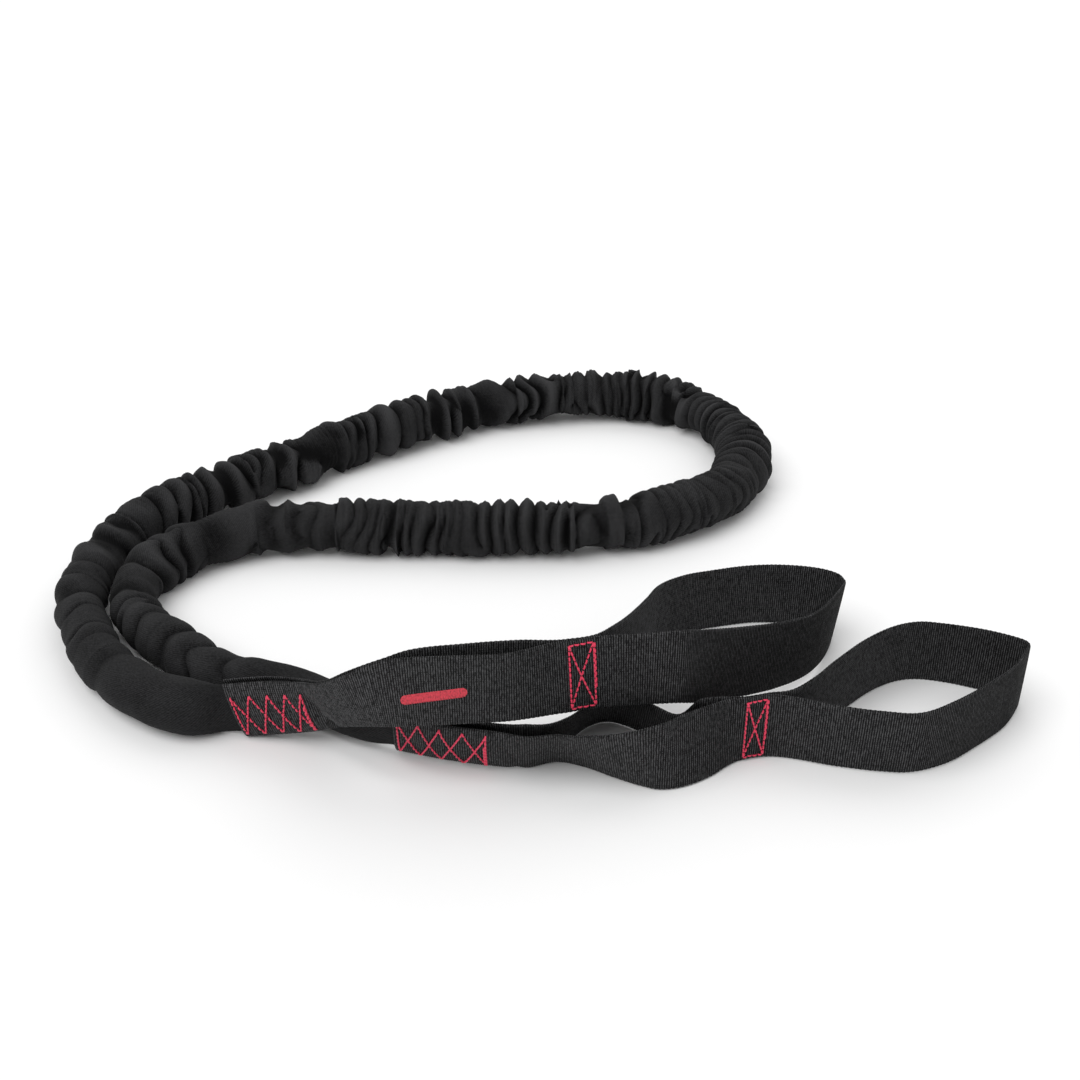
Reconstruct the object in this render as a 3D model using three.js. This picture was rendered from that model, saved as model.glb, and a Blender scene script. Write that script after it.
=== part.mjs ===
// A stretching strap. A flat woven elastic runs inside a long fabric sleeve that is gathered over it,
// and a looped webbing handle is sewn over each end. The strap lies on a table with the sleeve in one
// long bend and both handles side by side; handle A rests across the top of seam B.
// Millimetres, +Z up. The origin is on the table, under the middle of the strap.

import * as THREE from 'three';

// ---- driving dimensions ----

const WEBBING_THICKNESS = 1.6;
const ELASTIC_WIDTH = 16;
const ELASTIC_THICKNESS = 1.6;
const SLEEVE_WALL = 1;
const GATHERED_RADIUS = 16;
const GATHERED_WALL = 3.5;
const THREAD_WIDTH = 0.9;
const THREAD_THICKNESS = 0.6;
const THREAD_PITCH = 0.75;
const CLEARANCE = 0.4;
const MARK_THICKNESS = 0.25;

const STRIP_STEPS = 3;
const SLEEVE_STEPS = 3;
const GATHERED_STEPS = 60;
const SLEEVE_SIDES = 10;

// ---- where everything lies ----

// The middle of the strap's box, in the coordinates of the lists below.
const CENTRE = [7.5, -1.2];

// A handle is one strip of webbing standing on its edge. Each station gives the strip's lower edge
// (x, y, z), how far its upper edge leans in x and y, and the strip's width, which the zigzag seam
// pulls narrower. The strip starts in front of the sleeve, goes out to the tip of the hand loop and
// comes back behind the sleeve.
const WEBBING_A = [
  [-127, -178, 0.3, -9, -1, 34], [-108, -181, 4, -8, -1, 34], [-90, -185, 9, -8, -4, 33.5],
  [-75, -193, 19, -9, -8, 34], [-62, -203, 27, -8, -6, 36], [-47, -211, 33, -3, 1, 38],
  [-20, -213.5, 36.5, 0, 1, 38], [5, -212, 37, 0, 1, 38], [26, -205.5, 36, -2, 4, 38],
  [34, -203, 35.5, -2, 4, 38], [48, -199, 35.5, -2, 4, 38], [68, -197, 35.5, 0, 5, 38],
  [86, -195, 35, 1, 7, 38], [97, -187, 29.5, 1, 8, 38], [110, -174, 22, 2, 8, 38],
  [126, -161, 15, 2, 8, 38], [142, -148, 10, 1, 5, 38], [159, -131, 5, 1, 2, 38],
  [171, -113, 1.8, 2, 2, 38], [178.5, -96, 0.3, 6, 6, 38], [180, -89, 0.3, 5, 4, 38],
  [179, -81, 0.3, 3, 1, 38], [172, -75, 0.3, 1, 0, 38], [159, -72, 0.3, 0, 0, 38],
  [138, -72, 0.3, 0, 0, 38], [116, -77, 0.3, 0, 0, 38], [98, -87, 2.3, 0, 1, 38],
  [83, -104, 6, 1, 3, 38], [72, -131, 13, 3, 6, 38], [62, -161, 23.5, 3, 6, 38],
  [55, -183, 32.5, 2, 5, 38], [48, -196.8, 35.5, -2, 4, 38], [34, -200.8, 35.5, -2, 4, 38],
  [24, -201.5, 36, 0, 3, 38], [8, -202, 37, 0, 2, 38], [-18, -204.5, 36.5, 0, 2, 38],
  [-37, -206.5, 35, -2, 2, 38], [-49, -208, 32, -4, 0, 38], [-62, -200.5, 27, -8, -6, 36],
  [-74, -190.5, 19, -9, -8, 34], [-90, -176.7, 9, -8, -4, 33.5], [-108, -172.7, 4, -8, -1, 34],
  [-127, -169.7, 0.3, -9, -1, 34],
];
const WEBBING_B = [
  [-51, -189.5, 0.5, 0, -11, 32], [-26, -197, 0.5, 0, -12, 32], [0, -202, 0.5, 0, -13, 33],
  [14, -200.5, 0.5, 0, -18, 37], [28, -196, 0.5, 0, -20.5, 38], [41, -199.5, 0.5, -3, -19, 38],
  [56, -208, 0.5, -5, -13, 38], [68, -214, 0.5, -3, -6, 38], [78, -217, 0.5, 0, 2, 38],
  [90, -214.5, 0.5, -2, 8, 38], [102, -207.5, 0.5, -2, 7, 38], [111, -199.5, 0.5, -1, 3, 38],
  [118, -195, 0.5, 0, -1, 38], [130, -192, 0.5, 0, -1, 38], [142, -193, 0.5, 0, -2, 38],
  [162, -199, 0.5, 0, -2.5, 38], [182, -203, 0.5, 0, -3, 38], [200, -204, 0.5, 0, -3, 38],
  [219, -197, 0.5, 0, 0, 38], [238, -183, 0.5, 0, 0, 38], [254, -169, 0.5, 0, 0, 38],
  [264, -155, 0.5, 0, 0, 38], [267, -147, 0.5, 0, -1, 38], [261, -141.5, 0.5, 0, -1, 38],
  [246, -134, 0.5, 0, -1.5, 38], [229, -128, 0.5, -1, -2.5, 38], [215, -127, 0.5, 0, -2, 38],
  [201, -132, 0.5, 0, -2, 38], [186, -143.5, 0.5, -1, -2, 38], [168, -161.5, 0.5, -1, -2, 38],
  [155, -175, 0.5, 0, -2, 38], [142, -186, 0.5, 0, -2, 38], [130, -190, 0.5, 0, -1, 38],
  [118, -193, 0.5, 0, -1, 38], [108, -192.5, 0.5, 0, -1.5, 38], [97, -191.5, 0.5, 0, -4, 38],
  [85, -184, 0.5, 1, -18, 38], [71, -172, 0.5, 1, -20, 38], [56, -163.5, 0.5, 0, -23, 38],
  [44, -167.5, 0.5, 0, -23, 38], [34, -179, 0.5, 0, -22, 38], [24, -189, 1, 0, -20, 38],
  [13, -195, 2.5, 0, -16, 36], [1.5, -194.3, 3.7, 0, -13, 33], [-24.5, -189.3, 3.7, 0, -12, 32],
  [-49.5, -181.8, 3.7, 0, -11, 32],
];

// Stations along each strip: the first of the two that its box-X seam lies between, on the front layer
// and on the back layer, and where the printed mark starts and ends.
const BOX_X_A = [9, 31];
const BOX_X_B = [12, 32];
const MARK = [5.15, 6.25];

// How far in from each end of the strip the zigzag seam runs, in stations, and how far up the strip
// its lower and upper points lie, on each handle.
const ZIGZAG_A = [0.1, 2.05];
const ZIGZAG_B = [0.1, 1.75];
const POINTS_A = [0.07, 0.8];
const POINTS_B = [0.1, 0.93];

// The sleeve's middle line (x, y, z), half its thickness, half its height, and how many degrees its
// upper side leans towards +Y. It is flat where a handle is sewn over it.
const SMOOTH_A = [
  [-97, -181.4, 24.6, 2.7, 14.5, -6], [-111.6, -177.3, 20.6, 2.7, 15, -2],
  [-131, -174.2, 17, 2.7, 15, -2], [-138, -173.5, 16, 3, 15, -2], [-146, -172.5, 15.5, 9, 15, 0],
  [-155, -171, 15, 13, 15, 0], [-168, -166, 14.5, 14.5, 14.5, 0], [-184, -156, 14, 14, 14, 0],
  [-199, -142, 13.5, 13.5, 13.5, 0], [-214, -123, 13.6, 13.5, 13.5, 0],
  [-227, -99, 13.7, 13.7, 13.7, 0], [-237.5, -72, 13.7, 13.7, 13.7, 0],
  [-239.3, -44, 13.7, 13.7, 13.7, 0], [-236, -16, 14.2, 14.2, 14.2, 0], [-224, 12, 15, 15, 15, 0],
  [-204, 39, 15.5, 15.5, 15.5, 0], [-178.2, 65.9, 16.1, 16, 16, 0],
];
const GATHERED = [
  [-177, 67, 16.3], [-143, 97, 16], [-104, 131, 16.5], [-61, 163, 16.5], [-14, 189, 16.5],
  [38, 202, 16.5], [88, 202, 16.5], [126, 183, 16.5], [149, 151, 16.5], [156, 112, 16.5],
  [147, 73, 16.5], [123, 41, 16.5], [82, 19, 16.5], [38, 9, 16.5], [-8, 9, 16.5], [-55, 11, 16.5],
  [-102, 11, 16.5], [-140, 8, 16.3],
];
const SMOOTH_B = [
  [-141.2, 7.9, 16.1, 16, 16, 0], [-154, 6.9, 16.1, 16, 16, 0], [-174, -2, 15.7, 15.7, 15.7, 0],
  [-197, -22, 14.5, 14.5, 14.5, 0], [-209.5, -47, 13.7, 13.7, 13.7, 0],
  [-207.3, -74, 13.7, 13.7, 13.7, 0], [-195, -97, 13.7, 13.7, 13.7, 0],
  [-175, -117, 13.7, 13.7, 13.7, 0], [-154, -135, 13.5, 13.5, 13.5, 0],
  [-134, -147, 13, 13, 13, 0], [-113, -152, 13, 12, 13, 0], [-96, -159, 12.5, 11, 12.5, 0],
  [-82, -168, 12, 9.5, 12, 0], [-70, -177.5, 12.5, 7.5, 12.5, -8],
  [-58, -186.4, 15, 3.1, 13.8, -18], [-43, -192.9, 16.1, 2.5, 14, -20],
  [-25.2, -199.1, 16.4, 2.6, 14, -22], [-2, -204.4, 16.6, 2.6, 14, -23],
];

// ---- shapes ----

// A smooth curve through rows of six numbers, as two curves of three numbers each.
function smoothRows(rows) {
  const triples = (from) => rows.map((row) => new THREE.Vector3(...row.slice(from, from + 3)));
  const place = new THREE.CatmullRomCurve3(triples(0), false, 'catmullrom');
  const shape = new THREE.CatmullRomCurve3(triples(3), false, 'catmullrom');
  return (station) => {
    const t = THREE.MathUtils.clamp(station / (rows.length - 1), 0, 1);
    return { point: place.getPoint(t), along: place.getTangent(t), shape: shape.getPoint(t) };
  };
}

// A webbing strip's surface: the point at a station, `across` from 0 at its lower edge to 1 at its
// upper edge, and `outward` millimetres outside the middle of its thickness.
function stripSurface(rows) {
  const row = smoothRows(rows);
  return (station, across, outward) => {
    const { point, along, shape } = row(station);
    const { x: leanX, y: leanY, z: width } = shape;
    const up = new THREE.Vector3(leanX, leanY, Math.sqrt(width ** 2 - leanX ** 2 - leanY ** 2));
    const normal = new THREE.Vector3().crossVectors(along, up).normalize();
    return point.addScaledVector(up, across).addScaledVector(normal, outward);
  };
}

// A closed body from rings of points. Each ring is joined to the next, and either the last ring is
// joined to the first, or both ends are capped.
function bodyFromRings(rings, endless = false) {
  const size = rings[0].length;
  const indices = [];
  const joins = endless ? rings.length : rings.length - 1;
  for (let k = 0; k < joins; k += 1) {
    for (let i = 0; i < size; i += 1) {
      const a = k * size + i;
      const b = k * size + ((i + 1) % size);
      const c = ((k + 1) % rings.length) * size + i;
      const d = ((k + 1) % rings.length) * size + ((i + 1) % size);
      indices.push(a, b, d, a, d, c);
    }
  }
  if (!endless) {
    const last = (rings.length - 1) * size;
    for (let i = 1; i < size - 1; i += 1) {
      indices.push(0, i + 1, i);
      indices.push(last, last + i, last + i + 1);
    }
  }
  const geometry = new THREE.BufferGeometry().setFromPoints(rings.flat());
  geometry.setIndex(indices);
  geometry.computeVertexNormals();
  return geometry;
}

// A flat strip that follows a webbing surface between two stations, two heights across it and two
// distances outside it.
function stripGeometry(surface, [first, last], steps, [low, high], [inner, outer]) {
  const rings = [];
  for (let k = 0; k <= steps; k += 1) {
    const station = THREE.MathUtils.lerp(first, last, k / steps);
    rings.push([
      surface(station, low, inner),
      surface(station, high, inner),
      surface(station, high, outer),
      surface(station, low, outer),
    ]);
  }
  return bodyFromRings(rings);
}

// Rings across a route, one for each step. `outline` gives a ring's points as distances along its
// thin side and its tall side.
function ringsAlong(rows, steps, outline) {
  const row = smoothRows(rows);
  const rings = [];
  for (let k = 0; k <= (rows.length - 1) * steps; k += 1) {
    const { point, along, shape } = row(k / steps);
    const lean = THREE.MathUtils.degToRad(shape.z);
    const tall = new THREE.Vector3(0, Math.sin(lean), Math.cos(lean));
    tall.addScaledVector(along, -tall.dot(along)).normalize();
    const thin = new THREE.Vector3().crossVectors(tall, along);
    const place = ([across, up]) => point.clone().addScaledVector(thin, across).addScaledVector(tall, up);
    rings.push(outline(shape.x, shape.y).map(place));
  }
  return rings;
}

function ovalOutline(halfThickness, halfHeight) {
  const points = [];
  for (let i = 0; i < SLEEVE_SIDES; i += 1) {
    const angle = (2 * Math.PI * i) / SLEEVE_SIDES;
    points.push([halfThickness * Math.cos(angle), halfHeight * Math.sin(angle)]);
  }
  return points;
}

// A length of sleeve with its hollow, open at both ends.
function sleeveGeometry(rows) {
  const outside = ringsAlong(rows, SLEEVE_STEPS, ovalOutline);
  const inside = ringsAlong(rows, SLEEVE_STEPS, (halfThickness, halfHeight) =>
    ovalOutline(halfThickness - SLEEVE_WALL, halfHeight - SLEEVE_WALL));
  return bodyFromRings([...outside, ...inside.reverse()], true);
}

function gatheredGeometry() {
  const path = new THREE.CatmullRomCurve3(GATHERED.map((point) => new THREE.Vector3(...point)));
  const ring = new THREE.Shape();
  ring.absarc(0, 0, GATHERED_RADIUS, 0, 2 * Math.PI);
  const hollow = new THREE.Path();
  hollow.absarc(0, 0, GATHERED_RADIUS - GATHERED_WALL, 0, 2 * Math.PI, true);
  ring.holes.push(hollow);
  const settings = { steps: GATHERED_STEPS, curveSegments: SLEEVE_SIDES / 2, extrudePath: path };
  return new THREE.ExtrudeGeometry(ring, settings);
}

function elasticGeometry() {
  const middle = GATHERED.map(([x, y, z]) => [x, y, z, 0, 0, 0]);
  const half = [ELASTIC_THICKNESS / 2, ELASTIC_WIDTH / 2];
  const corners = [[-half[0], -half[1]], [half[0], -half[1]], [half[0], half[1]], [-half[0], half[1]]];
  const route = [...SMOOTH_A.slice(0, -1), ...middle, ...SMOOTH_B.slice(1)];
  return bodyFromRings(ringsAlong(route, SLEEVE_STEPS, () => corners));
}

// ---- sewing thread ----

// One flat run of thread along [station, across, level] points on a webbing surface. Each level lies
// on top of the one below, so the run can cross itself.
function threadGeometry(surface, path) {
  const base = WEBBING_THICKNESS / 2 + CLEARANCE;
  const place = ([station, across, level], height) =>
    surface(station, across, base + level * THREAD_PITCH + height);
  const rings = path.map((entry, i) => {
    const before = place(path[Math.max(i - 1, 0)], 0);
    const after = place(path[Math.min(i + 1, path.length - 1)], 0);
    const under = place(entry, 0);
    const over = place(entry, THREAD_THICKNESS);
    const along = after.sub(before);
    const side = new THREE.Vector3().crossVectors(over.clone().sub(under), along);
    side.setLength(THREAD_WIDTH / 2);
    return [
      under.clone().sub(side), under.clone().add(side), over.clone().add(side), over.clone().sub(side),
    ];
  });
  return bodyFromRings(rings);
}

// The double zigzag runs out along five points a side, then comes back crossing itself. Each turn
// is a short flat.
function zigzagGeometry(surface, first, last, [low, high]) {
  const turns = [
    [1, high, 0], [1, low, 0], [2, high, 0], [3, low, 0], [4, high, 0], [5, low, 0],
    [5, high, 1], [4, low, 1], [3, high, 1], [2, low, 1], [1, high, 1],
  ];
  const path = turns.flatMap(([number, across, level], i) => {
    const station = THREE.MathUtils.lerp(first, last, (number - 1) / 4);
    const flat = Math.sign(last - first) * (level === 0 ? 0.03 : -0.03);
    if (i === 0 || i === turns.length - 1) return [[station, across, level]];
    return [[station - flat, across, level], [station + flat, across, level]];
  });
  return threadGeometry(surface, path);
}

// A narrow rectangle across the webbing, then both its diagonals, with one side sewn twice.
function boxXGeometry(surface, first) {
  const [left, right, low, high] = [first + 0.08, first + 0.92, 0.06, 0.94];
  const flat = 0.05;
  return threadGeometry(surface, [
    [left, low, 0], [right, low, 0], [right, high, 0], [left, high, 0], [left, low, 1],
    [left + flat, low, 1], [right - flat, high, 1], [right, high, 1], [right, low, 1],
    [right - flat, low, 1], [left, high, 3],
  ]);
}

// ---- materials ----

const cloth = (color) => new THREE.MeshStandardMaterial({ color, roughness: 0.95, metalness: 0 });
const sleeveBlack = 0x1e1e20;
const webbingBlack = 0x232325;
const elasticBlack = 0x2a2a2c;
const threadRed = 0xd8344f;
const markRed = 0xd9404f;

// ---- the strap ----

const strap = new THREE.Group();
strap.position.set(-CENTRE[0], -CENTRE[1], 0);

function addPiece(name, geometry, color) {
  const piece = new THREE.Mesh(geometry, cloth(color));
  piece.name = name;
  strap.add(piece);
}

addPiece('sleeve_gathered', gatheredGeometry(), sleeveBlack);
addPiece('sleeve_smooth_a', sleeveGeometry(SMOOTH_A), sleeveBlack);
addPiece('sleeve_smooth_b', sleeveGeometry(SMOOTH_B), sleeveBlack);
addPiece('elastic_core', elasticGeometry(), elasticBlack);

const handles = [
  { side: 'a', stations: WEBBING_A, boxX: BOX_X_A, zigzag: ZIGZAG_A, points: POINTS_A },
  { side: 'b', stations: WEBBING_B, boxX: BOX_X_B, zigzag: ZIGZAG_B, points: POINTS_B },
];
const face = WEBBING_THICKNESS / 2;
for (const { side, stations, boxX, zigzag, points } of handles) {
  const surface = stripSurface(stations);
  const last = stations.length - 1;
  const webbing = stripGeometry(surface, [0, last], last * STRIP_STEPS, [0, 1], [-face, face]);
  const front = zigzagGeometry(surface, zigzag[0], zigzag[1], points);
  const back = zigzagGeometry(surface, last - zigzag[0], last - zigzag[1], points);
  addPiece(`webbing_${side}`, webbing, webbingBlack);
  addPiece(`zigzag_thread_${side}_front`, front, threadRed);
  addPiece(`zigzag_thread_${side}_back`, back, threadRed);
  addPiece(`box_x_thread_${side}_front`, boxXGeometry(surface, boxX[0]), threadRed);
  addPiece(`box_x_thread_${side}_back`, boxXGeometry(surface, boxX[1]), threadRed);
}

const ink = [face + CLEARANCE, face + CLEARANCE + MARK_THICKNESS];
addPiece('printed_mark', stripGeometry(stripSurface(WEBBING_A), MARK, 6, [0.32, 0.6], ink), markRed);

export default strap;
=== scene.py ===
# The looks of the stretching strap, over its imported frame. Lists are in millimetres, as in part.mjs, and
# the pieces are in metres.
import math

import bpy
import numpy as np
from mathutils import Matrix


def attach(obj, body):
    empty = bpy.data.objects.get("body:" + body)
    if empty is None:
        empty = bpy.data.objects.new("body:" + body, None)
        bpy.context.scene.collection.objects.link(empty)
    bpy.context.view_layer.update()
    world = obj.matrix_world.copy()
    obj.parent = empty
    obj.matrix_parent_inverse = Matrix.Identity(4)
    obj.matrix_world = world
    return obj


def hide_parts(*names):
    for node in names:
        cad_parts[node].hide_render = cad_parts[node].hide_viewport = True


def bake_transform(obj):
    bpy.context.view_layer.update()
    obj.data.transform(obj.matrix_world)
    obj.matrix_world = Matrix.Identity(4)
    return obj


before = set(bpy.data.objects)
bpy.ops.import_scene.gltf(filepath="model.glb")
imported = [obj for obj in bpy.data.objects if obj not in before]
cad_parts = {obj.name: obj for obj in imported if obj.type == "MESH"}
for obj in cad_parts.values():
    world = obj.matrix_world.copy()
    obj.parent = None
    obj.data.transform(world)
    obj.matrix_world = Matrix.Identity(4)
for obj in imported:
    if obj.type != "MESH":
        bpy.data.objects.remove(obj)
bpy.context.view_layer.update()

# ---- the routes, in millimetres, as in part.mjs ----

CENTRE = np.array([7.5, -1.2, 0.0])

# Webbing rows: lower edge x, y, z, the upper edge's lean in x and y, and the strip's width.
WEBBING_A = np.array([
  [-127, -178, 0.3, -9, -1, 34], [-108, -181, 4, -8, -1, 34], [-90, -185, 9, -8, -4, 33.5],
  [-75, -193, 19, -9, -8, 34], [-62, -203, 27, -8, -6, 36], [-47, -211, 33, -3, 1, 38],
  [-20, -213.5, 36.5, 0, 1, 38], [5, -212, 37, 0, 1, 38], [26, -205.5, 36, -2, 4, 38],
  [34, -203, 35.5, -2, 4, 38], [48, -199, 35.5, -2, 4, 38], [68, -197, 35.5, 0, 5, 38],
  [86, -195, 35, 1, 7, 38], [97, -187, 29.5, 1, 8, 38], [110, -174, 22, 2, 8, 38],
  [126, -161, 15, 2, 8, 38], [142, -148, 10, 1, 5, 38], [159, -131, 5, 1, 2, 38],
  [171, -113, 1.8, 2, 2, 38], [178.5, -96, 0.3, 6, 6, 38], [180, -89, 0.3, 5, 4, 38],
  [179, -81, 0.3, 3, 1, 38], [172, -75, 0.3, 1, 0, 38], [159, -72, 0.3, 0, 0, 38],
  [138, -72, 0.3, 0, 0, 38], [116, -77, 0.3, 0, 0, 38], [98, -87, 2.3, 0, 1, 38],
  [83, -104, 6, 1, 3, 38], [72, -131, 13, 3, 6, 38], [62, -161, 23.5, 3, 6, 38],
  [55, -183, 32.5, 2, 5, 38], [48, -196.8, 35.5, -2, 4, 38], [34, -200.8, 35.5, -2, 4, 38],
  [24, -201.5, 36, 0, 3, 38], [8, -202, 37, 0, 2, 38], [-18, -204.5, 36.5, 0, 2, 38],
  [-37, -206.5, 35, -2, 2, 38], [-49, -208, 32, -4, 0, 38], [-62, -200.5, 27, -8, -6, 36],
  [-74, -190.5, 19, -9, -8, 34], [-90, -176.7, 9, -8, -4, 33.5], [-108, -172.7, 4, -8, -1, 34],
  [-127, -169.7, 0.3, -9, -1, 34],
])
WEBBING_B = np.array([
  [-51, -189.5, 0.5, 0, -11, 32], [-26, -197, 0.5, 0, -12, 32], [0, -202, 0.5, 0, -13, 33],
  [14, -200.5, 0.5, 0, -18, 37], [28, -196, 0.5, 0, -20.5, 38], [41, -199.5, 0.5, -3, -19, 38],
  [56, -208, 0.5, -5, -13, 38], [68, -214, 0.5, -3, -6, 38], [78, -217, 0.5, 0, 2, 38],
  [90, -214.5, 0.5, -2, 8, 38], [102, -207.5, 0.5, -2, 7, 38], [111, -199.5, 0.5, -1, 3, 38],
  [118, -195, 0.5, 0, -1, 38], [130, -192, 0.5, 0, -1, 38], [142, -193, 0.5, 0, -2, 38],
  [162, -199, 0.5, 0, -2.5, 38], [182, -203, 0.5, 0, -3, 38], [200, -204, 0.5, 0, -3, 38],
  [219, -197, 0.5, 0, 0, 38], [238, -183, 0.5, 0, 0, 38], [254, -169, 0.5, 0, 0, 38],
  [264, -155, 0.5, 0, 0, 38], [267, -147, 0.5, 0, -1, 38], [261, -141.5, 0.5, 0, -1, 38],
  [246, -134, 0.5, 0, -1.5, 38], [229, -128, 0.5, -1, -2.5, 38], [215, -127, 0.5, 0, -2, 38],
  [201, -132, 0.5, 0, -2, 38], [186, -143.5, 0.5, -1, -2, 38], [168, -161.5, 0.5, -1, -2, 38],
  [155, -175, 0.5, 0, -2, 38], [142, -186, 0.5, 0, -2, 38], [130, -190, 0.5, 0, -1, 38],
  [118, -193, 0.5, 0, -1, 38], [108, -192.5, 0.5, 0, -1.5, 38], [97, -191.5, 0.5, 0, -4, 38],
  [85, -184, 0.5, 1, -18, 38], [71, -172, 0.5, 1, -20, 38], [56, -163.5, 0.5, 0, -23, 38],
  [44, -167.5, 0.5, 0, -23, 38], [34, -179, 0.5, 0, -22, 38], [24, -189, 1, 0, -20, 38],
  [13, -195, 2.5, 0, -16, 36], [1.5, -194.3, 3.7, 0, -13, 33], [-24.5, -189.3, 3.7, 0, -12, 32],
  [-49.5, -181.8, 3.7, 0, -11, 32],
])

# Sleeve rows: middle x, y, z, half the thickness, half the height, lean in degrees. The gathered part is
# round, so its rows give only the middle.
SMOOTH_A = np.array([
  [-97, -181.4, 24.6, 2.7, 14.5, -6], [-111.6, -177.3, 20.6, 2.7, 15, -2],
  [-131, -174.2, 17, 2.7, 15, -2], [-138, -173.5, 16, 3, 15, -2], [-146, -172.5, 15.5, 9, 15, 0],
  [-155, -171, 15, 13, 15, 0], [-168, -166, 14.5, 14.5, 14.5, 0], [-184, -156, 14, 14, 14, 0],
  [-199, -142, 13.5, 13.5, 13.5, 0], [-214, -123, 13.6, 13.5, 13.5, 0],
  [-227, -99, 13.7, 13.7, 13.7, 0], [-237.5, -72, 13.7, 13.7, 13.7, 0],
  [-239.3, -44, 13.7, 13.7, 13.7, 0], [-236, -16, 14.2, 14.2, 14.2, 0], [-224, 12, 15, 15, 15, 0],
  [-204, 39, 15.5, 15.5, 15.5, 0], [-178.2, 65.9, 16.1, 16, 16, 0],
])
GATHERED = np.array([
  [-177, 67, 16.3], [-143, 97, 16], [-104, 131, 16.5], [-61, 163, 16.5], [-14, 189, 16.5],
  [38, 202, 16.5], [88, 202, 16.5], [126, 183, 16.5], [149, 151, 16.5], [156, 112, 16.5],
  [147, 73, 16.5], [123, 41, 16.5], [82, 19, 16.5], [38, 9, 16.5], [-8, 9, 16.5], [-55, 11, 16.5],
  [-102, 11, 16.5], [-140, 8, 16.3],
])
SMOOTH_B = np.array([
  [-141.2, 7.9, 16.1, 16, 16, 0], [-154, 6.9, 16.1, 16, 16, 0], [-174, -2, 15.7, 15.7, 15.7, 0],
  [-197, -22, 14.5, 14.5, 14.5, 0], [-209.5, -47, 13.7, 13.7, 13.7, 0],
  [-207.3, -74, 13.7, 13.7, 13.7, 0], [-195, -97, 13.7, 13.7, 13.7, 0],
  [-175, -117, 13.7, 13.7, 13.7, 0], [-154, -135, 13.5, 13.5, 13.5, 0],
  [-134, -147, 13, 13, 13, 0], [-113, -152, 13, 12, 13, 0], [-96, -159, 12.5, 11, 12.5, 0],
  [-82, -168, 12, 9.5, 12, 0], [-70, -177.5, 12.5, 7.5, 12.5, -8],
  [-58, -186.4, 15, 3.1, 13.8, -18], [-43, -192.9, 16.1, 2.5, 14, -20],
  [-25.2, -199.1, 16.4, 2.6, 14, -22], [-2, -204.4, 16.6, 2.6, 14, -23],
])
# Stations, which count the rows of a strip: where each box-X starts on the front and on the back, where the
# mark starts and stops, and where each zigzag does, counted from the strip's own end.
BOX_X_A = (9, 31)
BOX_X_B = (12, 32)
MARK = (5.15, 6.25)
ZIGZAG = {"a": (0.1, 2.05), "b": (0.1, 1.75)}
# How far across the strip the zigzag's lower and upper points lie, from 0 to 1.
POINTS = {"a": (0.07, 0.8), "b": (0.1, 0.93)}
WEBBING_WIDTH = 38
WEBBING_THICKNESS = 1.6
ELASTIC_WIDTH = 16
ELASTIC_THICKNESS = 1.6
SLEEVE_DIAMETER = 32
SLEEVE_RADIUS = SLEEVE_DIAMETER / 2


def to_metres(points):
    return (np.asarray(points, float) - CENTRE) * 0.001


# ---- camera ----

SENSOR_WIDTH = 36
FRAME_WIDTH = 1080
FOCAL_LENGTH = 1432  # in the same units as the frame's width

camera = bpy.data.objects.new("camera", bpy.data.cameras.new("camera"))
camera.data.sensor_width = SENSOR_WIDTH
camera.data.lens = SENSOR_WIDTH * FOCAL_LENGTH / FRAME_WIDTH
camera.location = to_metres([20, -749, 445])
camera.rotation_euler = (math.radians(60), 0, 0)
bpy.context.collection.objects.link(camera)
bpy.context.scene.camera = camera


# ---- curves and meshes ----

def catmull(rows, station):
    """The uniform Catmull-Rom curve through rows, at each station."""
    rows = np.asarray(rows, float)
    station = np.clip(np.asarray(station, float), 0, len(rows) - 1)
    padded = np.vstack([2 * rows[0] - rows[1], rows, 2 * rows[-1] - rows[-2]])
    k = np.minimum(station.astype(int), len(rows) - 2)
    t = (station - k)[..., None]
    p0, p1, p2, p3 = (padded[k + i] for i in range(4))
    return 0.5 * (2 * p1 + (p2 - p0) * t + (2 * p0 - 5 * p1 + 4 * p2 - p3) * t ** 2
                  + (3 * p1 - p0 - 3 * p2 + p3) * t ** 3)


def unit(v):
    return v / np.linalg.norm(v, axis=-1, keepdims=True)


def new_piece(name, points, faces, coords):
    """A smooth piece from points in list millimetres, with their cloth coordinates."""
    mesh = bpy.data.meshes.new(name)
    mesh.from_pydata(to_metres(points).reshape(-1, 3).tolist(), [], faces)
    mesh.polygons.foreach_set("use_smooth", [True] * len(mesh.polygons))
    cloth = mesh.attributes.new("cloth", "FLOAT_VECTOR", "POINT")
    cloth.data.foreach_set("vector", np.asarray(coords, np.float32).reshape(-1))
    mesh.update()
    piece = bpy.data.objects.new(name, mesh)
    bpy.context.collection.objects.link(piece)
    return piece


def grid_mesh(name, points, coords, caps=(True, True)):
    """A piece over a grid of points: rows along it, columns round it."""
    n, m = points.shape[:2]
    row, column = np.meshgrid(np.arange(n - 1), np.arange(m), indexing="ij")
    after = (column + 1) % m
    quads = np.stack([row * m + column, row * m + after,
                      (row + 1) * m + after, (row + 1) * m + column], -1)
    faces = quads.reshape(-1, 4).tolist()
    if caps[0]:
        faces.append(list(range(m))[::-1])
    if caps[1]:
        faces.append([(n - 1) * m + i for i in range(m)])
    return new_piece(name, points, faces, coords)


def finish_piece(piece, material, nodes):
    piece.data.materials.append(material)
    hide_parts(*nodes)
    return piece


# ---- materials ----

def new_material(name):
    material = bpy.data.materials.new(name)
    material.use_nodes = True
    nodes = material.node_tree.nodes
    return material, nodes, material.node_tree.links, nodes["Principled BSDF"]


def node(nodes, kind, **settings):
    made = nodes.new(kind)
    for key, value in settings.items():
        if key in made.inputs:
            made.inputs[key].default_value = value
        else:
            setattr(made, key, value)
    return made


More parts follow.
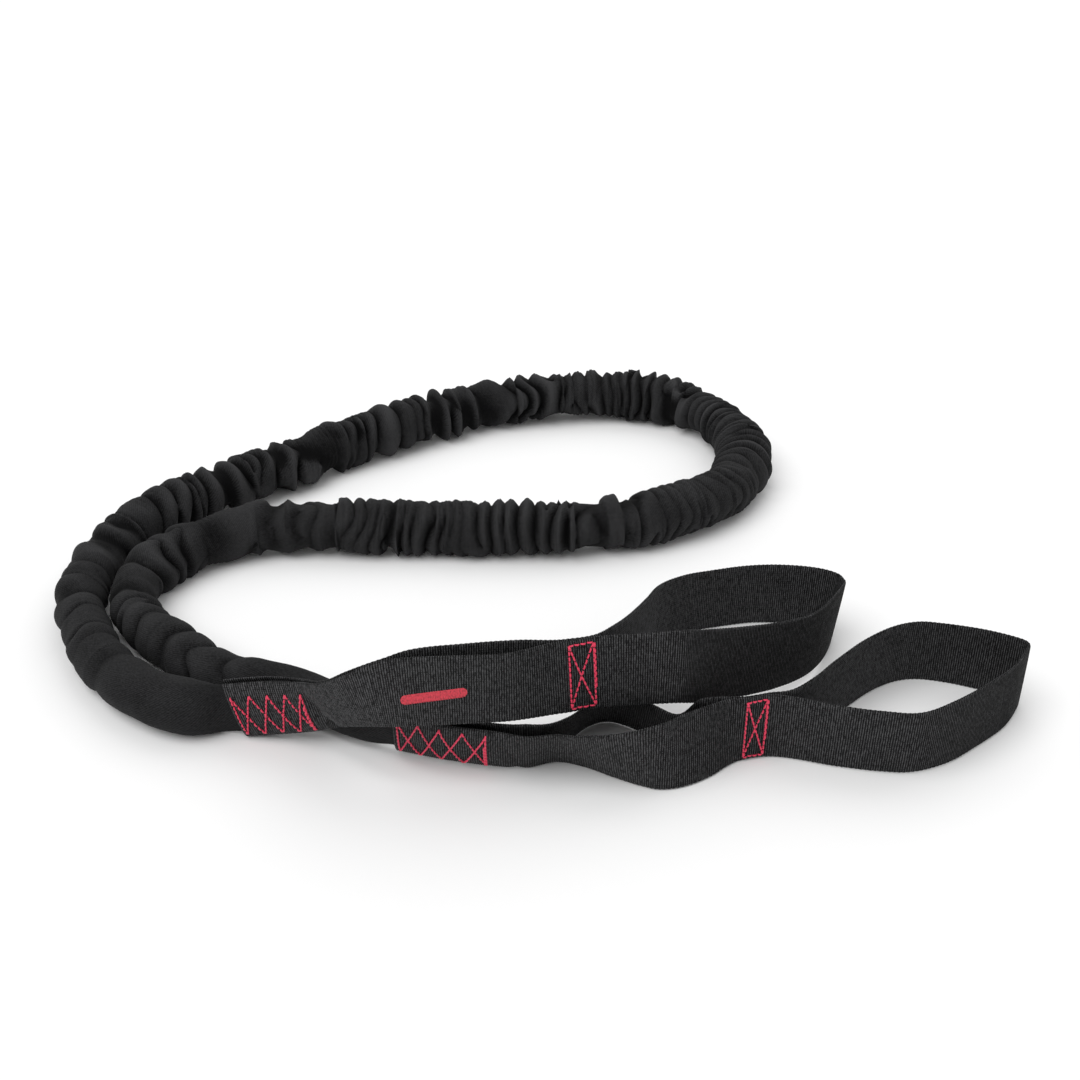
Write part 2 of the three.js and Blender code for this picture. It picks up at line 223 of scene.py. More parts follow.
def cloth_coords(nodes, links, scale):
    """The piece's own cloth coordinates, in millimetres, times scale."""
    attribute = node(nodes, "ShaderNodeAttribute", attribute_name="cloth")
    mapping = node(nodes, "ShaderNodeMapping")
    mapping.inputs["Scale"].default_value = scale
    links.new(attribute.outputs["Vector"], mapping.inputs["Vector"])
    return mapping.outputs["Vector"]


def ramp(nodes, links, value, low, high, dark, light):
    made = node(nodes, "ShaderNodeValToRGB")
    made.color_ramp.elements[0].position = low
    made.color_ramp.elements[1].position = high
    made.color_ramp.elements[0].color = (*dark, 1)
    made.color_ramp.elements[1].color = (*light, 1)
    links.new(value, made.inputs["Fac"])
    return made.outputs["Color"]


def bumps(nodes, links, shader, layers):
    """Bump from several heights, each (socket, strength, distance in metres)."""
    normal = None
    for height, strength, distance in layers:
        bump = node(nodes, "ShaderNodeBump", Strength=strength, Distance=distance)
        links.new(height, bump.inputs["Height"])
        if normal is not None:
            links.new(normal, bump.inputs["Normal"])
        normal = bump.outputs["Normal"]
    links.new(normal, shader.inputs["Normal"])


def math_node(nodes, links, operation, a, b):
    made = node(nodes, "ShaderNodeMath", operation=operation)
    links.new(a, made.inputs[0])
    if isinstance(b, (int, float)):
        made.inputs[1].default_value = b
    else:
        links.new(b, made.inputs[1])
    return made.outputs[0]


def knit_material():
    """Black knitted fabric: a fine twill round the tube, flecks, and painted shade on the folds: lighter on
    their crests, darker in their creases.
    """
    material, nodes, links, shader = new_material("sleeve_knit")
    fine = node(nodes, "ShaderNodeTexNoise", Scale=1.0, Detail=3.0, Roughness=0.6)
    links.new(cloth_coords(nodes, links, (1.3, 1.3, 0.9)), fine.inputs["Vector"])
    wide = node(nodes, "ShaderNodeTexNoise", Scale=1.0, Detail=2.0)
    links.new(cloth_coords(nodes, links, (0.06, 0.06, 0.05)), wide.inputs["Vector"])
    split = node(nodes, "ShaderNodeSeparateXYZ")
    links.new(cloth_coords(nodes, links, (1, 1, 1)), split.inputs["Vector"])
    turn = math_node(nodes, links, "ARCTAN2", split.outputs["Y"], split.outputs["X"])
    turns = math_node(nodes, links, "MULTIPLY", turn, 64)
    rise = math_node(nodes, links, "MULTIPLY", split.outputs["Z"], 3.6)
    twill = math_node(nodes, links, "SINE", math_node(nodes, links, "ADD", turns, rise), 0)
    # Painted shade: the folds' relief makes the colour lighter on the crests and darker in the creases.
    painted_fold_shade = node(nodes, "ShaderNodeAttribute", attribute_name="painted_fold_shade")
    tone_and_painted_shade = math_node(nodes, links, "MULTIPLY", fine.outputs["Fac"], 0.5)
    for value, share in ((wide.outputs["Fac"], 0.15), (painted_fold_shade.outputs["Fac"], 0.6), (twill, 0.05)):
        tone_and_painted_shade = math_node(nodes, links, "ADD", tone_and_painted_shade, math_node(nodes, links, "MULTIPLY", value, share))
    colour = ramp(nodes, links, tone_and_painted_shade, 0.47, 0.90, (0.0024, 0.0024, 0.0026), (0.0395, 0.0395, 0.0410))
    links.new(colour, shader.inputs["Base Color"])
    bumps(nodes, links, shader, [(twill, 0.3, 0.0002), (fine.outputs["Fac"], 0.5, 0.0003)])
    shader.inputs["Roughness"].default_value = 0.9
    shader.inputs["Specular IOR Level"].default_value = 0.1
    shader.inputs["Sheen Weight"].default_value = 0.02
    shader.inputs["Sheen Roughness"].default_value = 0.5
    return material


def webbing_material(name, dark, light):
    """Woven webbing: ribs across the width with the warp's short dashes between them. The colour goes
    lighter and darker with the ribs, painted shade, over the weave's own dashes and random lighter flecks.
    """
    material, nodes, links, shader = new_material(name)
    dash = node(nodes, "ShaderNodeTexBrick", Scale=1.0)
    dash.inputs["Mortar Size"].default_value = 0.16
    dash.inputs["Mortar Smooth"].default_value = 0.6
    dash.inputs["Brick Width"].default_value = 1.15
    dash.inputs["Row Height"].default_value = 0.62
    dash.inputs["Color1"].default_value = (1, 1, 1, 1)
    dash.inputs["Color2"].default_value = (0.62, 0.62, 0.62, 1)
    dash.inputs["Mortar"].default_value = (0, 0, 0, 1)
    links.new(cloth_coords(nodes, links, (1, 1, 1)), dash.inputs["Vector"])
    fleck = node(nodes, "ShaderNodeTexNoise", Scale=1.0, Detail=2.0, Roughness=0.7)
    links.new(cloth_coords(nodes, links, (1.4, 0.42, 1)), fleck.inputs["Vector"])
    # The ribs' wave also paints shade into the colour: darker between the ribs, lighter on them, besides
    # their bump.
    ribs = node(nodes, "ShaderNodeTexWave", bands_direction="X", Scale=1.0, Distortion=0.8, Detail=1.0)
    links.new(cloth_coords(nodes, links, (0.2732, 0.2, 0.2)), ribs.inputs["Vector"])
    weave = math_node(nodes, links, "MULTIPLY", dash.outputs["Color"], 0.25)
    across = math_node(nodes, links, "MULTIPLY", ribs.outputs["Fac"], 0.42)
    height = math_node(nodes, links, "ADD", weave, across)
    flecks = math_node(nodes, links, "MULTIPLY", fleck.outputs["Fac"], 0.8)
    tone_and_painted_shade = math_node(nodes, links, "ADD", height, flecks)
    links.new(ramp(nodes, links, tone_and_painted_shade, 0.70, 1.10, dark, light), shader.inputs["Base Color"])
    bumps(nodes, links, shader, [(tone_and_painted_shade, 0.7, 0.0003)])
    shader.inputs["Roughness"].default_value = 0.8
    shader.inputs["Specular IOR Level"].default_value = 0.14
    shader.inputs["Sheen Weight"].default_value = 0.02
    shader.inputs["Sheen Roughness"].default_value = 0.4
    return material


def thread_material():
    """Twisted polyester thread."""
    material, nodes, links, shader = new_material("thread")
    twist = node(nodes, "ShaderNodeTexWave", bands_direction="DIAGONAL", Scale=1.0, Distortion=0.4)
    links.new(cloth_coords(nodes, links, (0.55, 0.55, 0.55)), twist.inputs["Vector"])
    colour = ramp(nodes, links, twist.outputs["Fac"], 0.1, 0.8,
                  (0.60, 0.022, 0.068), (0.94, 0.042, 0.120))
    links.new(colour, shader.inputs["Base Color"])
    bumps(nodes, links, shader, [(twist.outputs["Fac"], 0.5, 0.0001)])
    shader.inputs["Roughness"].default_value = 0.5
    shader.inputs["Sheen Weight"].default_value = 0.15
    return material


def print_material():
    """A thin print over the ribs, worn a little between them."""
    material, nodes, links, shader = new_material("mark_print")
    worn = node(nodes, "ShaderNodeTexNoise", Scale=1.0, Detail=3.0)
    links.new(cloth_coords(nodes, links, (1.3, 0.7, 1)), worn.inputs["Vector"])
    colour = ramp(nodes, links, worn.outputs["Fac"], 0.3, 0.55,
                  (0.30, 0.018, 0.030), (0.62, 0.036, 0.062))
    links.new(colour, shader.inputs["Base Color"])
    bumps(nodes, links, shader, [(worn.outputs["Fac"], 0.4, 0.0001)])
    shader.inputs["Roughness"].default_value = 0.6
    return material


knit = knit_material()
webbing_cloth = webbing_material("webbing_weave", (0.0032, 0.0032, 0.0034), (0.098, 0.098, 0.101))
elastic_cloth = webbing_material("elastic_weave", (0.010, 0.010, 0.011), (0.034, 0.034, 0.036))
thread = thread_material()
ink = print_material()


# ---- the sleeve ----

def smooth_noise(rng, length, reach):
    """Smooth random values, one for each millimetre, with a spread of 1."""
    kernel = np.exp(-0.5 * (np.arange(-3 * reach, 3 * reach + 1) / reach) ** 2)
    values = np.convolve(rng.standard_normal(length + 6 * int(reach) + 8), kernel, "same")
    values = values[3 * int(reach):3 * int(reach) + length]
    return values / values.std()


def ring_noise(rng, s, angle, reach, waves, length):
    """Smooth noise over the tube's skin: s along it, angle round it."""
    total = np.zeros((len(s), len(angle)))
    millimetres = np.arange(length)
    for k in range(waves + 1):
        for turn in (np.cos, np.sin):
            if k == 0 and turn is np.sin:
                continue
            along = np.interp(s, millimetres, smooth_noise(rng, length, reach))
            total += along[:, None] * turn(k * angle)[None, :] / (1 + 0.35 * k)
    return total / math.sqrt(1 + sum((1 + 0.35 * k) ** -2 for k in range(1, waves + 1)))


def profile(s, keys):
    """A value along the sleeve, through (s, value) keys."""
    keys = np.asarray(keys, float)
    return np.interp(s, keys[:, 0], keys[:, 1])


# The folds along the sleeve, each list in millimetres from seam A and then the value: how far apart the
# creases are, how deep they are, how deep the small creases between them are, how much the skin swells
# and sinks in long waves, and how far it is drawn in from the plain tube.
PITCH = [(0, 36), (120, 34), (200, 26), (290, 18), (380, 13), (1080, 13), (1150, 19), (1260, 28),
         (1350, 38), (1507, 40)]
DEPTH = [(0, 0), (44, 0), (80, 0.5), (130, 0.9), (200, 2.0), (300, 3.2), (380, 3.9), (1090, 3.9),
         (1180, 3.0), (1290, 1.8), (1360, 0.8), (1430, 0.3), (1447, 0), (1507, 0)]
FINE_DEPTH = [(0, 0), (100, 0), (200, 0.4), (320, 0.6), (390, 1.15), (1090, 1.15), (1190, 0.5),
              (1320, 0.3), (1420, 0), (1507, 0)]
SWELL = [(0, 0), (45, 0), (110, 0.7), (300, 1.1), (1250, 1.1), (1400, 0.5), (1447, 0), (1507, 0)]
INSET = [(0, 0), (100, 0.4), (380, 0.9), (1090, 0.9), (1400, 0.3), (1507, 0)]
CLOSEST_CREASES = 8
FOLD_LIMIT = 5.2  # no fold stands out or sinks in further than this
TABLE_CLEARANCE = 0.4
SKIN_STEP = 0.65
SKIN_AROUND = 120


class Sleeve:
    """The sleeve's skin: a route with its outline at each millimetre, and the folds over it."""

    def __init__(self, seed):
        middle = [[x, y, z, SLEEVE_RADIUS, SLEEVE_RADIUS, 0] for x, y, z in GATHERED]
        rows = np.array([*SMOOTH_A[:-1].tolist(), *middle, *SMOOTH_B[1:].tolist()])
        dense = catmull(rows, np.linspace(0, len(rows) - 1, 12000))
        s = np.concatenate([[0], np.cumsum(np.linalg.norm(np.diff(dense[:, :3], axis=0), axis=1))])
        self.length = float(s[-1])
        self.s = np.linspace(0, self.length, 3000)
        self.table = np.stack([np.interp(self.s, s, dense[:, k]) for k in range(6)], -1)
        along = unit(np.gradient(self.table[:, :3], axis=0))
        lean = np.radians(self.table[:, 5])
        tall = np.stack([0 * lean, np.sin(lean), np.cos(lean)], -1)
        tall = unit(tall - along * np.sum(tall * along, -1, keepdims=True))
        self.tall = tall
        self.thin = np.cross(tall, along)
        self.seed = seed

    def at(self, values, s):
        return np.stack([np.interp(s, self.s, values[:, k]) for k in range(values.shape[1])], -1)

    def middle(self, s):
        return self.at(self.table[:, :3], s)

    def nearest(self, x, y):
        return float(self.s[np.argmin(np.hypot(self.table[:, 0] - x, self.table[:, 1] - y))])

    def forks(self, rng, s, angle, count):
        """A turn of the creases' phase, so that some of them end or fork part of the way round."""
        reach = 15.0
        place = angle[None, :] + 1j * s[:, None] / reach
        turned = np.ones_like(place)
        for _ in range(count):
            at, turn = rng.uniform(0, self.length), rng.uniform(0, 2 * np.pi)
            span, shift = rng.uniform(1.2, 3.0), rng.uniform(-5, 5)
            if profile(at, PITCH) > rng.uniform(8, 28):
                continue
            near = np.abs(s - at) < 90
            first = np.sin((place[near] - (turn + 1j * at / reach)) / 2)
            second = np.sin((place[near] - (turn + span + 1j * (at + shift) / reach)) / 2)
            turned[near] *= first / second / np.abs(first / second)
            turned[s - at >= 90] *= np.exp(1j * span / 2)
            turned[s - at <= -90] *= np.exp(-1j * span / 2)
        return np.angle(turned) / (2 * np.pi)

    def folds(self, s, angle):
        """How far the skin lies out from the plain tube, how far along it, and its folds alone."""
        rng = np.random.default_rng(self.seed)
        length = int(self.length) + 2
        millimetres = np.arange(length)
        out = profile(s, SWELL)[:, None] * (0.8 * ring_noise(rng, s, angle, 17, 2, length)
                                            + 0.5 * ring_noise(rng, s, angle, 5, 3, length))
        out = out - profile(s, INSET)[:, None]
        slide, relief = np.zeros_like(out), np.zeros_like(out)
        # Each layer: fold spacing and its unevenness, warp and its reach, and depth.
        layers = [(1.0, 0.50, 0.34, 13, DEPTH), (0.42, 0.35, 0.36, 8, FINE_DEPTH)]
        for spacing, uneven, warp, reach, depth_keys in layers:
            pitch = profile(millimetres, PITCH) * spacing
            wander = 0.25 * smooth_noise(rng, length, 12) + uneven * smooth_noise(rng, length, 4)
            pitch = np.maximum(pitch * np.exp(wander), CLOSEST_CREASES * spacing)
            phase = np.interp(s, millimetres, np.cumsum(1 / pitch))[:, None]
            local = np.interp(s, millimetres, pitch)[:, None]
            # Wide folds are warped less, or their creases would close into rings.
            warped = warp * np.minimum(1, 11 * spacing / local)
            phase = phase + warped * ring_noise(rng, s, angle, reach, 3, length)
            phase = phase + self.forks(rng, s, angle, int(self.length / (26 * spacing)))
            patches = ring_noise(rng, s, angle, 9 * spacing, 3, length)
            present = np.clip(0.4 + 0.5 * spacing + 0.5 * patches, 0.35, 1.7)
            depth = profile(s, depth_keys)[:, None] * present * np.clip(local / 12, 0.5, 1.25)
            # Close folds are round with a sharp crease between them, wide ones roll softly into each other.
            sharp = 0.52 + 0.8 * np.clip((local - 14) / 10, 0, 1)
            sharp = sharp * np.exp(0.30 * ring_noise(rng, s, angle, 12 * spacing, 2, length))
            crest = np.abs(np.sin(np.pi * phase)) ** sharp
            out += depth * (1.5 * crest - 0.95)
            relief += depth * (1.5 * crest - 1.0)
            # The crest leans over the valley beside it.
            slide += 0.12 * depth * np.sin(2 * np.pi * phase) * crest
        return FOLD_LIMIT * np.tanh(out / FOLD_LIMIT), slide, relief

    def skin(self, first, last):
        """Points of the skin from first to last millimetre, their cloth coordinates, and their folds."""
        s = np.linspace(first, last, max(2, int(round((last - first) / SKIN_STEP)) + 1))
        angle = np.linspace(0, 2 * np.pi, SKIN_AROUND, endpoint=False)
        out, slide, relief = self.folds(s, angle)
        where = s[:, None] + slide
        table = self.at(self.table, where.ravel()).reshape(*where.shape, 6)
        thin = self.at(self.thin, where.ravel()).reshape(*where.shape, 3)
        tall = self.at(self.tall, where.ravel()).reshape(*where.shape, 3)
        width = (table[..., 3] + out * np.clip(table[..., 3] / 12, 0, 1)) * np.cos(angle)[None, :]
        height = (table[..., 4] + out) * np.sin(angle)[None, :]
        points = table[..., :3] + thin * width[..., None] + tall * height[..., None]
        # The table carries the underside, so what would sink through it is rounded off above it.
        low = points[..., 2] - TABLE_CLEARANCE
        points[..., 2] = TABLE_CLEARANCE + 0.5 * (low + np.sqrt(low ** 2 + 1.2))
        coords = np.stack([SLEEVE_RADIUS * np.cos(angle)[None, :] + 0 * where,
                           SLEEVE_RADIUS * np.sin(angle)[None, :] + 0 * where,
                           s[:, None] + 0 * where], -1)
        return points, coords, relief


sleeve = Sleeve(seed=11)
PIVOT_A = sleeve.nearest(-184, -156)
GATHER_A = sleeve.nearest(*GATHERED[0][:2])
GATHER_B = sleeve.nearest(*GATHERED[-1][:2])
GATHER_MIDDLE = (GATHER_A + GATHER_B) / 2
STRETCH_B = sleeve.nearest(-113, -152)
PIVOT_B = sleeve.nearest(-66, -181)


def sleeve_piece(name, first, last, node_name, caps=(False, False)):
    points, coords, relief = sleeve.skin(first, last)
    piece = grid_mesh(name, points, coords, caps)
    # Painted shade: the folds' relief, kept on the piece so the knit is coloured lighter on the crests and
    # darker in the creases.
    painted_fold_shade = piece.data.attributes.new("painted_fold_shade", "FLOAT", "POINT")
    painted_fold_shade.data.foreach_set("value", np.clip(0.5 + relief / 8, 0, 1).astype(np.float32).ravel())
    return finish_piece(piece, knit, [node_name])


def along_point(s):
    return tuple(float(v) for v in to_metres(sleeve.middle(np.array([s]))[0]))


def declare_cord(first, last):
    path = [along_point(s) for s in np.linspace(first, last, int((last - first) / 8))]


end_a = sleeve_piece("sleeve_end_a", 0, PIVOT_A, "sleeve_smooth_a", caps=(True, False))
bend_a = sleeve_piece("sleeve_bend_a", PIVOT_A, GATHER_A, "sleeve_smooth_a")
gathered_1 = sleeve_piece("sleeve_gathered_1", GATHER_A, GATHER_MIDDLE, "sleeve_gathered")
gathered_2 = sleeve_piece("sleeve_gathered_2", GATHER_MIDDLE, GATHER_B, "sleeve_gathered")
bend_b = sleeve_piece("sleeve_bend_b", GATHER_B, STRETCH_B, "sleeve_smooth_b")
neck_b = sleeve_piece("sleeve_neck_b", STRETCH_B, PIVOT_B, "sleeve_smooth_b")
end_b = sleeve_piece("sleeve_end_b", PIVOT_B, sleeve.length, "sleeve_smooth_b", caps=(False, True))


# ---- the elastic inside ----

def elastic_piece(name, first, last, caps):
    s = np.linspace(first, last, int((last - first) / 1.5) + 2)
    half, tall = ELASTIC_THICKNESS / 2, ELASTIC_WIDTH / 2
    edge = np.linspace(-1, 1, 15)
    outline = [(half * (1 + 0.12 * math.cos(9 * math.pi * v)), tall * v) for v in edge]
    outline += [(-x, -y) for x, y in outline]
    outline = np.array(outline)
    middle, thin, tall_axis = sleeve.middle(s), sleeve.at(sleeve.thin, s), sleeve.at(sleeve.tall, s)
    points = (middle[:, None] + thin[:, None] * outline[None, :, :1]
              + tall_axis[:, None] * outline[None, :, 1:])
    coords = np.stack([s[:, None] + 0 * outline[None, :, 0], 0 * s[:, None] + outline[None, :, 1],
                       0 * s[:, None] + outline[None, :, 0]], -1)
    piece = grid_mesh(name, points[:, ::-1], coords[:, ::-1], caps)
    return finish_piece(piece, elastic_cloth, ["elastic_core"])


core_a = elastic_piece("elastic_end_a", 3, PIVOT_A, (True, False))
core = elastic_piece("elastic_middle", PIVOT_A, STRETCH_B, (False, False))
core_neck = elastic_piece("elastic_neck_b", STRETCH_B, PIVOT_B, (False, False))
core_b = elastic_piece("elastic_end_b", PIVOT_B, sleeve.length - 3, (False, True))


# ---- the webbing ----

RIB = 1.15
RIB_HEIGHT = 0.11
SCALLOP = 2.3
FACE_SHARE = 0.93  # the ribs rise and sink about this share of half the thickness
TUCK_STATION = 2.35
TUCK_REACH = 0.24


class Webbing:
    """One handle's strip: the CAD surface, curled and tucked where it is sewn over the sleeve."""

    def __init__(self, rows, tuck):
        self.rows = rows
        self.tuck = tuck
        self.last = len(rows) - 1
        station = np.linspace(0, self.last, 20000)
        middle = self.plain(station, 0.5 + 0 * station, 0 * station)
        self.station = station
        self.s = np.concatenate([[0], np.cumsum(np.linalg.norm(np.diff(middle, axis=0), axis=1))])
        self.length = float(self.s[-1])

    def frame(self, station):
        row = catmull(self.rows, station)
        step = 1e-3
        ahead = catmull(self.rows, np.asarray(station) + step)[..., :3]
        along = unit(ahead - catmull(self.rows, np.asarray(station) - step)[..., :3])
        lean_x, lean_y, width = row[..., 3], row[..., 4], row[..., 5]
        up = np.stack([lean_x, lean_y, np.sqrt(width ** 2 - lean_x ** 2 - lean_y ** 2)], -1)
        return row[..., :3], up, unit(np.cross(along, up))

    def plain(self, station, across, outward):
        start, up, normal = self.frame(station)
        return start + up * across[..., None] + normal * outward[..., None]

    def at(self, station, across, outward):
        """A point on the strip, with its selvedges curled round the sleeve and its neck tucked in."""
        station, across, outward = np.broadcast_arrays(np.asarray(station, float), across, outward)
        end = np.minimum(station, self.last - station)
        sewn = np.clip((3.2 - end) / 1.4, 0, 1)
        sewn = sewn * sewn * (3 - 2 * sewn)
        curl = (0.15 + 2.1 * sewn) * np.abs(2 * across - 1) ** 3
        beside = end - TUCK_STATION - 0.5 * (0.5 - across)
        pinch = np.exp(-(beside / TUCK_REACH) ** 2) * np.clip(3.2 * (0.95 - across), 0, 1)
        ripple = 0.35 * sewn * np.sin(9 * station + 5 * across)
        outward = outward - curl - self.tuck * pinch + ripple * (1 - np.abs(2 * across - 1))
        return self.plain(station, across, outward)

    def station_at(self, s):
        return np.interp(s, self.s, self.station)


def webbing_piece(name, strip, node_name, body):
    """The strip with its ribs, and with the small scallops that the weft leaves along each selvedge."""
    step = RIB / 4
    s = np.linspace(0, strip.length, int(strip.length / step) + 1)
    half = WEBBING_THICKNESS / 2
    faces = np.linspace(0.03, 0.97, 10)
    outline = [(v, half * FACE_SHARE, 1.0) for v in faces]
    outline += [(0.992, half * 0.62, 0.3), (1.0, 0.0, 0.0), (0.992, -half * 0.62, 0.3)]
    outline += [(v, -half * FACE_SHARE, 1.0) for v in faces[::-1]]
    outline += [(0.008, -half * 0.62, 0.3), (0.0, 0.0, 0.0), (0.008, half * 0.62, 0.3)]
    across, outward, flat = np.array(outline).T
    station = strip.station_at(s)[:, None]
    rib = RIB_HEIGHT * np.sin(2 * np.pi * s / RIB)[:, None] * flat[None, :] * np.sign(outward)[None, :]
    rng = np.random.default_rng(5)
    length = int(strip.length) + 2
    uneven = np.interp(s, np.arange(length), smooth_noise(rng, length, 5))[:, None]
    edge = np.clip((np.abs(2 * across - 1) - 0.9) / 0.1, 0, 1)[None, :] * np.sign(2 * across - 1)[None, :]
    scallop = (0.30 * np.abs(np.sin(np.pi * s / SCALLOP)) - 0.22)[:, None] + 0.07 * uneven
    spread = across[None, :] + edge * scallop / WEBBING_WIDTH
    points = strip.at(station, spread, outward[None, :] + rib)
    coords = np.stack([s[:, None] + 0 * spread, WEBBING_WIDTH * spread, outward[None, :] + 0 * spread], -1)
    piece = grid_mesh(name, points, coords)
    finish_piece(piece, webbing_cloth, [node_name])
    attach(piece, body)
    return piece


# ---- stitches ----

STITCH_LENGTH = 2.9
STITCH_GAP = 0.05  # at each end, as a share of a stitch
STITCH_WOBBLE = 0.25
STITCH_RADIUS = 0.46
CROSSING_LIFT = 0.35  # a line sewn over another lies this much higher


def stitch_line(strip, corners, rng):
    """Stitches along straight lines between (station, across) corners, each its own short raised run."""
    made = []
    for (s0, a0), (s1, a1) in zip(corners, corners[1:]):
        ends = strip.at(np.array([s0, s1]), np.array([a0, a1]), np.array([1.0, 1.0]))
        count = max(1, int(round(np.linalg.norm(ends[1] - ends[0]) / STITCH_LENGTH)))
        for k in range(count):
            t0, t1 = (k + STITCH_GAP) / count, (k + 1 - STITCH_GAP) / count
            shake = rng.uniform(-STITCH_WOBBLE, STITCH_WOBBLE, 2) / WEBBING_WIDTH
            made.append(((s0 + (s1 - s0) * t0, a0 + (a1 - a0) * t0 + shake[0]),
                         (s0 + (s1 - s0) * t1, a0 + (a1 - a0) * t1 + shake[1])))
    return made


def stitches_piece(name, strip, lines, node_name, body):
    """Each stitch is a thin bar that comes up out of the webbing, lies on it and goes down again."""
    rng = np.random.default_rng(3)
    rings, sides = 7, 8
    turn = np.linspace(0, 2 * np.pi, sides, endpoint=False)
    vertices, faces, coords = [], [], []
    lift = np.array([-0.75, 0.02, 0.36, 0.45, 0.36, 0.02, -0.75])
    slim = np.array([0.55, 0.9, 1.0, 1.02, 1.0, 0.9, 0.55])
    for corners, level in lines:
        for start, stop in stitch_line(strip, corners, rng):
            t = np.array([0, 0.08, 0.28, 0.5, 0.72, 0.92, 1])
            station = start[0] + (stop[0] - start[0]) * t
            across = start[1] + (stop[1] - start[1]) * t
            raised = np.where(lift > 0, level * CROSSING_LIFT, 0)
            height = WEBBING_THICKNESS / 2 + lift + raised + rng.uniform(-0.04, 0.04)
            path = strip.at(station, across, height)
            over = unit(strip.at(station, across, height + 0.5) - path)
            forward = unit(np.gradient(strip.at(station, across, 0 * t + 1.0), axis=0))
            side = unit(np.cross(forward, over))
            wide = STITCH_RADIUS * slim[:, None] * np.cos(turn)[None]
            tall = 0.85 * STITCH_RADIUS * slim[:, None] * np.sin(turn)[None]
            ring = path[:, None] + side[:, None] * wide[..., None] + over[:, None] * tall[..., None]
            base = len(vertices)
            vertices += ring.reshape(-1, 3).tolist()
            coords += [[2.2 * q, 1.5 * math.cos(a), 1.5 * math.sin(a)] for q in range(rings) for a in turn]
            for r in range(rings - 1):
                for c in range(sides):
                    d = (c + 1) % sides
                    faces.append([base + r * sides + c, base + r * sides + d,
                                  base + (r + 1) * sides + d, base + (r + 1) * sides + c])
            faces.append([base + c for c in range(sides)][::-1])
            faces.append([base + (rings - 1) * sides + c for c in range(sides)])
    piece = new_piece(name, vertices, faces, coords)
    finish_piece(piece, thread, [node_name])
    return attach(piece, body)


def zigzag_lines(first, last, low, high):
    """A zigzag one way, a second one back over it, and a tack near the far end."""
    turns = [(1, high), (1, low), (2, high), (3, low), (4, high), (5, low),
             (5, high), (4, low), (3, high), (2, low), (1, high)]
    corners = [(first + (last - first) * (number - 1) / 4, across) for number, across in turns]
    back = 0.02 * (last - first)
    tack = [(corners[5][0] - back, low), (corners[5][0] - back, high * 0.72)]
    return [(corners[:6], 0), (corners[5:], 1), (tack, 1)]


def box_x_lines(first):
    """A box, its two diagonals, and a short second run beside it."""
    left, right, low, high = first + 0.08, first + 0.92, 0.06, 0.94
    frame_path = [(left, low), (right, low), (right, high), (left, high), (left, low)]
    twice = [(right + 0.03, high), (right + 0.03, 0.3)]
    return [(frame_path, 0), ([(left, low), (right, high)], 0),
            ([(right, low), (left, high)], 1), (twice, 0)]


MARK_RADIUS = 2.6
PRINT_RISE = 0.07
PRINT_THICKNESS = 0.12


def mark_piece(strip, body):
    """A plain printed bar with round ends, which follows the ribs."""
    columns = 150
    t = np.linspace(0, 1, columns)
    s0, s1 = (np.interp(v, strip.station, strip.s) for v in MARK)
    s = s0 + (s1 - s0) * t
    width = s1 - s0
    end = np.minimum(t, 1 - t) * width
    half = MARK_RADIUS * np.sqrt(np.clip(1 - np.clip(1 - end / MARK_RADIUS, 0, 1) ** 2, 0.0004, 1))
    middle = 0.40 * WEBBING_WIDTH + 3.2 * t
    rib = RIB_HEIGHT * np.sin(2 * np.pi * s / RIB)
    rows_across = np.linspace(-1, 1, 7)
    top = WEBBING_THICKNESS / 2 * FACE_SHARE + rib + PRINT_RISE
    station = strip.station_at(s)
    rings = []
    for height in (top, top - PRINT_THICKNESS):
        order = rows_across if height is top else rows_across[::-1]
        rings += [strip.at(station, (middle + half * v) / WEBBING_WIDTH, height) for v in order]
    points = np.stack(rings, 1)
    across = np.stack([middle + half * v for v in (*rows_across, *rows_across[::-1])], 1)
    coords = np.stack([np.repeat(s[:, None], across.shape[1], 1), across, np.zeros(across.shape)], -1)
    piece = grid_mesh("printed_bar", points, coords)
    finish_piece(piece, ink, ["printed_mark"])
    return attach(piece, body)


# How far each strip's neck is tucked in. Handle A's is pinched harder.
TUCK_A = 2.2
TUCK_B = 0.7
for side, rows, box_x, tuck in (("a", WEBBING_A, BOX_X_A, TUCK_A), ("b", WEBBING_B, BOX_X_B, TUCK_B)):
    strip = Webbing(rows, tuck)
    body = f"handle_{side}"
    webbing_piece(f"webbing_strip_{side}", strip, f"webbing_{side}", body)
    start, stop = ZIGZAG[side]
    for face, first, last, cross in (("front", start, stop, box_x[0]),
                                     ("back", strip.last - start, strip.last - stop, box_x[1])):
        stitches_piece(f"zigzag_stitches_{side}_{face}", strip, zigzag_lines(first, last, *POINTS[side]),
                       f"zigzag_thread_{side}_{face}", body)
        stitches_piece(f"box_x_stitches_{side}_{face}", strip, box_x_lines(cross),
                       f"box_x_thread_{side}_{face}", body)
    if side == "a":
        mark_piece(strip, body)


# ---- what moves with what ----

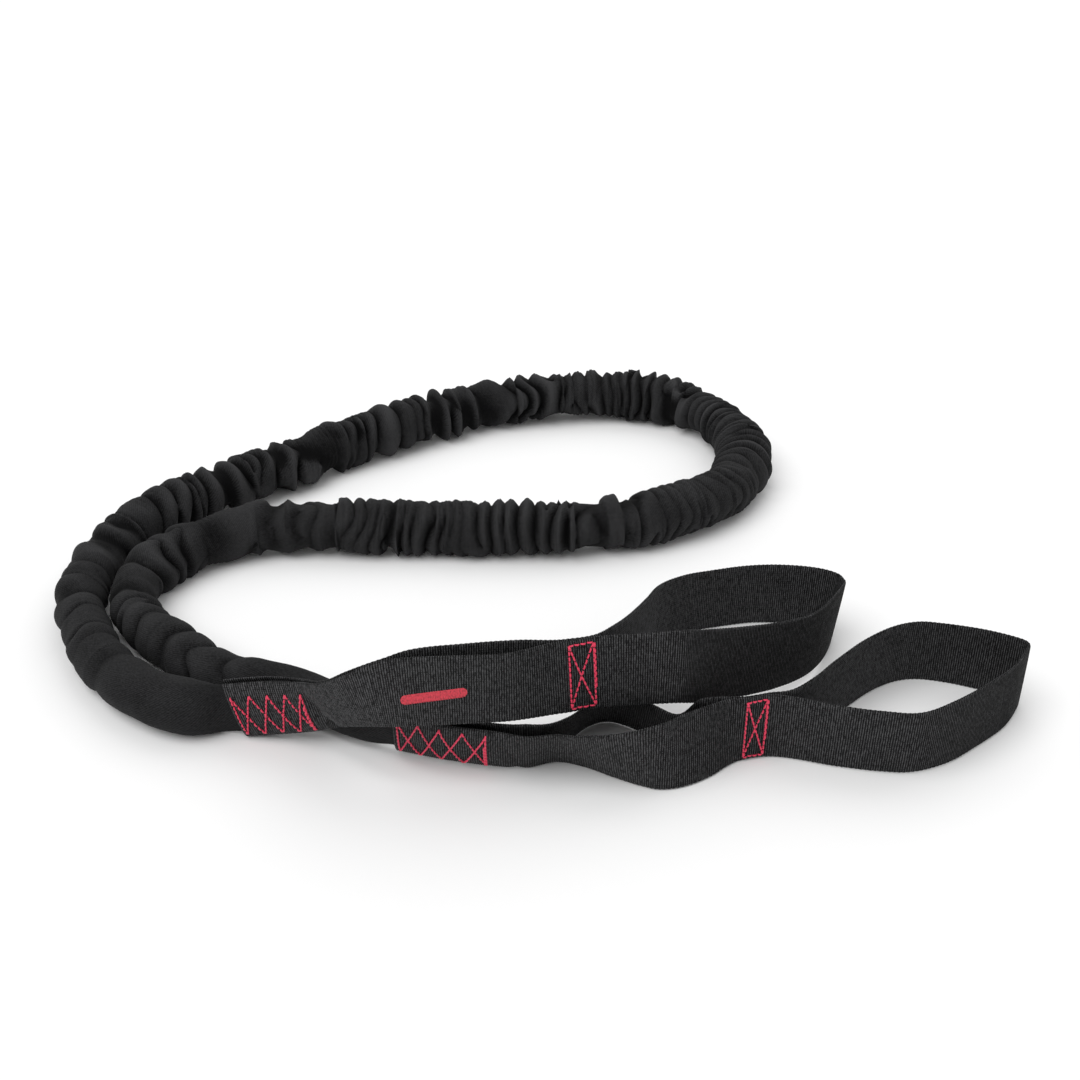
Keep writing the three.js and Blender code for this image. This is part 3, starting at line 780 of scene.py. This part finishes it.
for piece in (bend_a, gathered_1, gathered_2, bend_b, core):
    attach(piece, "band")
for piece in (end_a, core_a):
    along_point(PIVOT_A - 6)
    along_point(sleeve.nearest(-137, -173.5))
    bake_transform(piece)
for piece in (neck_b, core_neck):
    along_point(STRETCH_B + 4)
    along_point(PIVOT_B - 3)
    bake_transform(piece)
for piece in (end_b, core_b):
    along_point(PIVOT_B + 3)
    along_point(PIVOT_B + 20)
    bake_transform(piece)

declare_cord(PIVOT_A, GATHER_A)
declare_cord(GATHER_A, GATHER_MIDDLE)
declare_cord(GATHER_MIDDLE, GATHER_B)
declare_cord(GATHER_B, STRETCH_B)


# ---- floor and light ----

floor_mesh = bpy.data.meshes.new("floor")
floor_mesh.from_pydata([(-9, -9, 0), (9, -9, 0), (9, 9, 0), (-9, 9, 0)], [], [(0, 1, 2, 3)])
floor = bpy.data.objects.new("floor", floor_mesh)
bpy.context.collection.objects.link(floor)
floor_material, _, _, floor_shader = new_material("floor")
floor_shader.inputs["Base Color"].default_value = (0.93, 0.93, 0.93, 1)
floor_shader.inputs["Roughness"].default_value = 1.0
floor_shader.inputs["Specular IOR Level"].default_value = 0.0
floor_mesh.materials.append(floor_material)

world = bpy.data.worlds.new("studio")
world.use_nodes = True
world.node_tree.nodes["Background"].inputs["Color"].default_value = (1, 1, 1, 1)
world.node_tree.nodes["Background"].inputs["Strength"].default_value = 0.6
bpy.context.scene.world = world


def sun_light(name, direction, softness, strength):
    """A very soft light from far off, which lights the whole floor evenly."""
    light = bpy.data.objects.new(name, bpy.data.lights.new(name, "SUN"))
    light.data.angle = math.radians(softness)
    light.data.energy = strength
    x, y, z = direction
    light.rotation_euler = (math.atan2(math.hypot(x, y), z), 0, math.atan2(y, x) + math.pi / 2)
    bpy.context.collection.objects.link(light)


sun_light("key", (-0.45, -0.35, 1.0), 50, 1.5)
sun_light("back", (0.35, 0.8, 0.9), 60, 0.6)
bpy.context.scene.view_settings.view_transform = "Standard"
bpy.context.scene.view_settings.look = "None"
